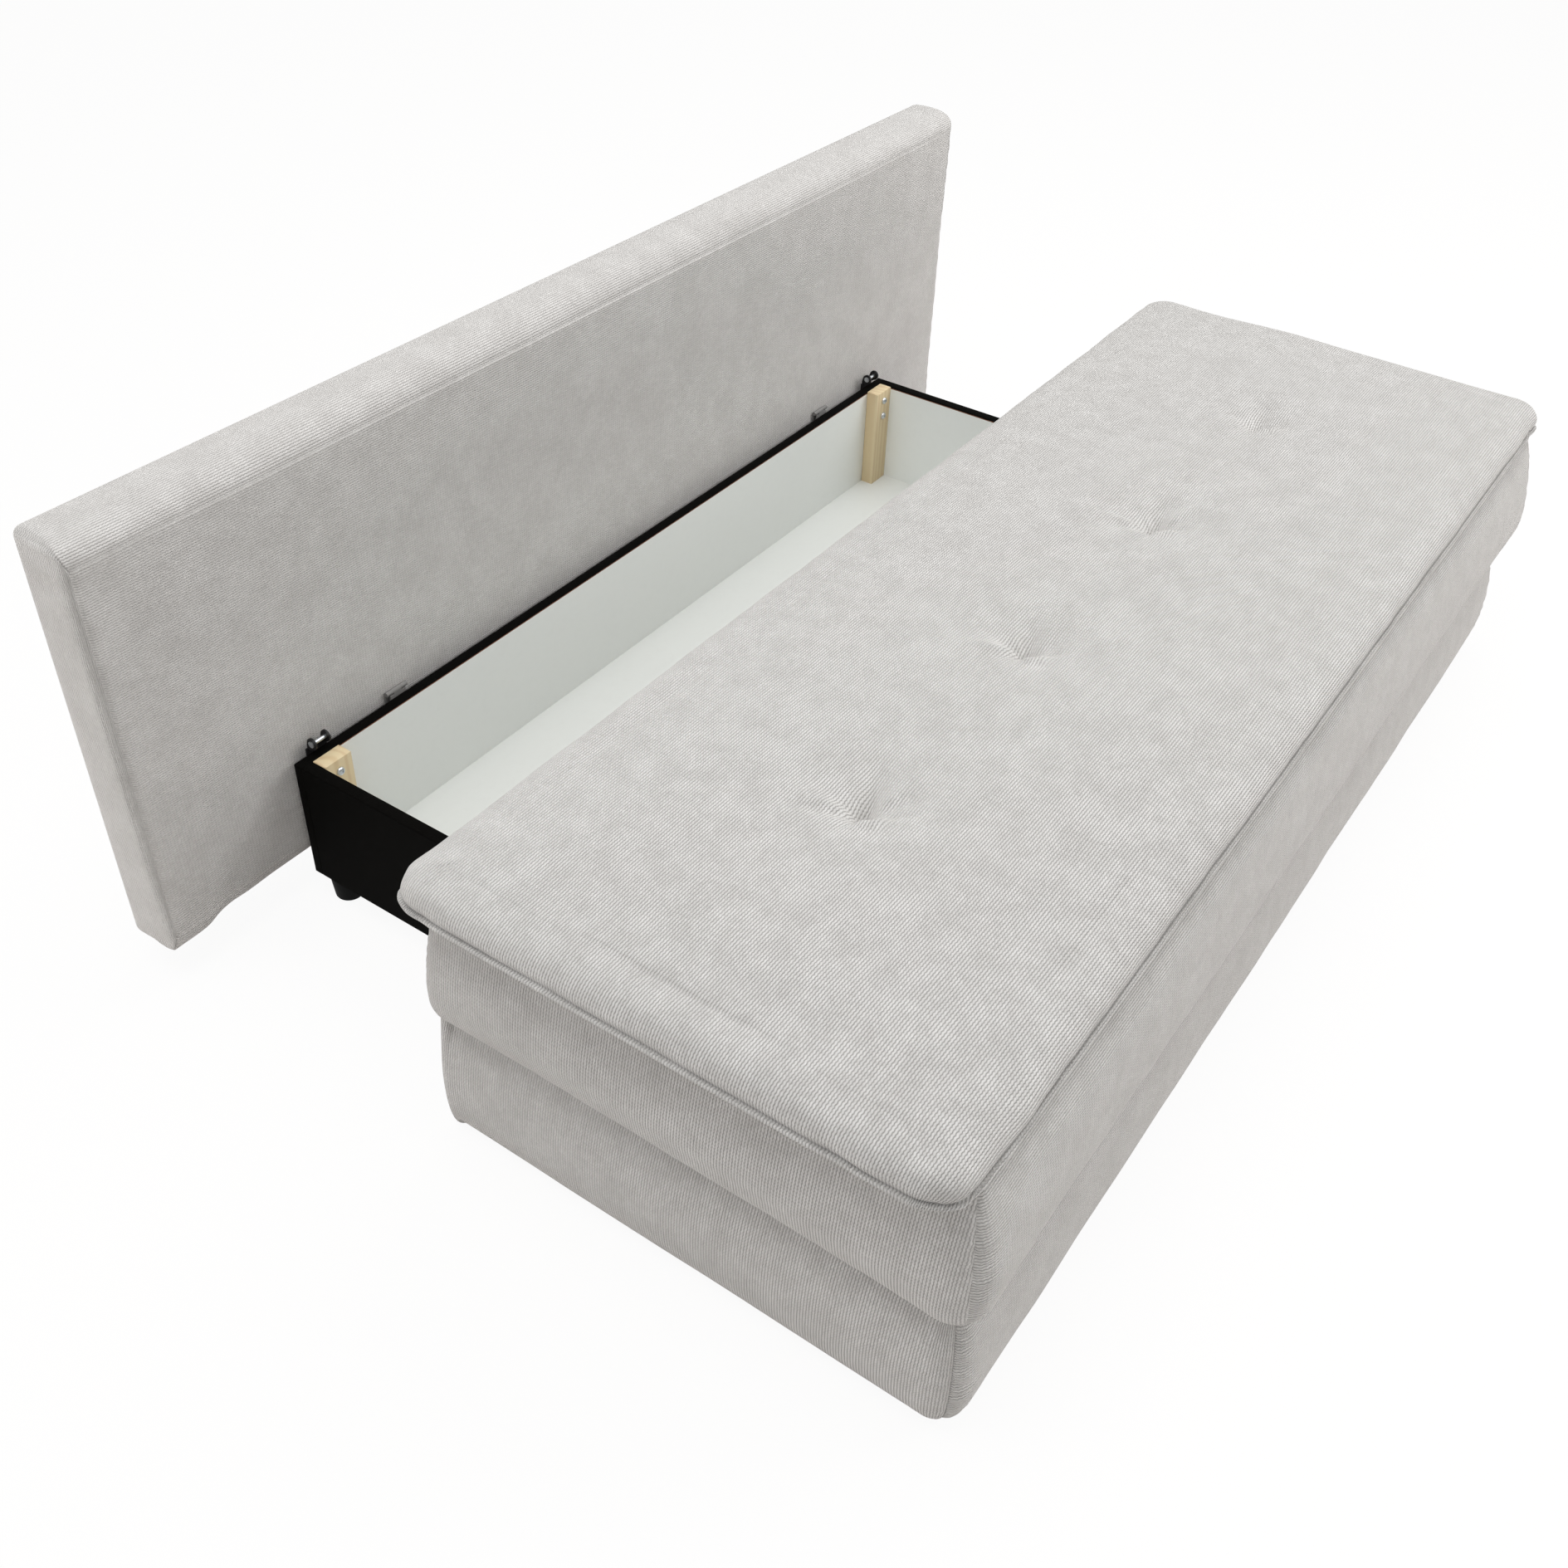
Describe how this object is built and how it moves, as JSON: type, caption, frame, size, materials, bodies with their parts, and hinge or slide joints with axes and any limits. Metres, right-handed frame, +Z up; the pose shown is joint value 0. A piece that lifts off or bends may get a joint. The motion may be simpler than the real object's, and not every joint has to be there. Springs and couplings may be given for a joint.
{
  "type": "storage sofa bed",
  "caption": "Storage sofa bed: a padded seat block rolls forward off an open black storage box, and the upright padded backrest lifts and folds down flat into the gap.",
  "frame": {"origin": "middle of the footprint on the floor, with the seat rolled out and the backrest upright", "axes": "+X along the length, -Y the way the seat rolls out, +Z up"},
  "size_m": [2.012, 1.305, 0.698],
  "materials": {
    "upholstery": "fine ribbed cord, matte",
    "foam": "open cell foam",
    "black_board": "black fabric wrap outside and over the rim, pale lining inside",
    "white_board": "pale melamine",
    "pine": "planed pine",
    "plywood": "plain plywood",
    "black_plastic": "matte",
    "wheel_plastic": "satin",
    "black_steel": "black coated",
    "zinc": "zinc plated",
    "black_rubber": "matte"
  },
  "bodies": {
    "storage_box": {"box_rear_wall": "black_board", "box_front_wall": "black_board", "box_left_wall": "black_board", "box_right_wall": "black_board", "box_floor": "white_board", "floor_battens": "pine", "corner_blocks": "pine", "corner_bolts": "zinc", "feet": "black_plastic", "foot_screws": "zinc", "catch_brackets": "black_steel", "catch_pins": "zinc", "catch_screws": "zinc", "strap_guides": "black_steel", "guide_stop_pins": "zinc", "guide_screws": "zinc", "backrest_buffers": "black_rubber"},
    "hinge_lift": {"lift_straps": "black_steel", "hinge_pins": "zinc"},
    "backrest": {"backrest_cover": "upholstery", "backrest_rails": "pine", "backrest_stiles": "pine", "hinge_screw_blocks": "pine", "hinge_leaves": "black_steel", "hinge_screws": "zinc"},
    "seat": {"mattress_cover": "upholstery", "mattress_core": "foam", "topper_cover": "upholstery", "topper_core": "foam", "tuft_buttons": "upholstery", "base_front_pad": "upholstery", "base_left_pad": "upholstery", "base_right_pad": "upholstery", "seat_left_board": "pine", "seat_right_board": "pine", "seat_front_board": "pine", "deck_rails": "pine", "deck_cross_rails": "pine", "seat_deck": "plywood", "guide_runners": "pine", "stop_blocks": "pine", "closing_bumpers": "black_rubber", "seat_hooks": "black_steel", "castor_brackets": "zinc", "castor_axles": "zinc", "castor_screws": "zinc"},
    "rear_right_wheel": {"wheel_rear_right": "wheel_plastic"},
    "rear_left_wheel": {"wheel_rear_left": "wheel_plastic"},
    "front_right_wheel": {"wheel_front_right": "wheel_plastic"},
    "front_left_wheel": {"wheel_front_left": "wheel_plastic"}
  },
  "joints": [
    {"name": "seat_slide", "type": "slide", "parent": "storage_box", "child": "seat", "axis": [0, -1, 0], "range_m": [-0.452, 0]},
    {"name": "backrest_lift", "type": "slide", "parent": "storage_box", "child": "hinge_lift", "axis": [0, 0, 1], "range_m": [0, 0.121]},
    {"name": "backrest_fold", "type": "hinge", "parent": "hinge_lift", "child": "backrest", "pos_m": [0, 0.5565, 0.251], "axis": [1, 0, 0], "range_deg": [0, 90]},
    {"name": "rear_right_wheel_spin", "type": "hinge", "parent": "seat", "child": "rear_right_wheel", "pos_m": [0.8662, 0.0085, 0.025], "axis": [1, 0, 0], "continuous": true},
    {"name": "rear_left_wheel_spin", "type": "hinge", "parent": "seat", "child": "rear_left_wheel", "pos_m": [-0.8662, 0.0085, 0.025], "axis": [1, 0, 0], "continuous": true},
    {"name": "front_right_wheel_spin", "type": "hinge", "parent": "seat", "child": "front_right_wheel", "pos_m": [0.8662, -0.5345, 0.025], "axis": [1, 0, 0], "continuous": true},
    {"name": "front_left_wheel_spin", "type": "hinge", "parent": "seat", "child": "front_left_wheel", "pos_m": [-0.8662, -0.5345, 0.025], "axis": [1, 0, 0], "continuous": true}
  ],
  "couplings": [
    {"joint": "backrest_lift", "follows": "backrest_fold", "m_per_rad": 0.077031}
  ]
}
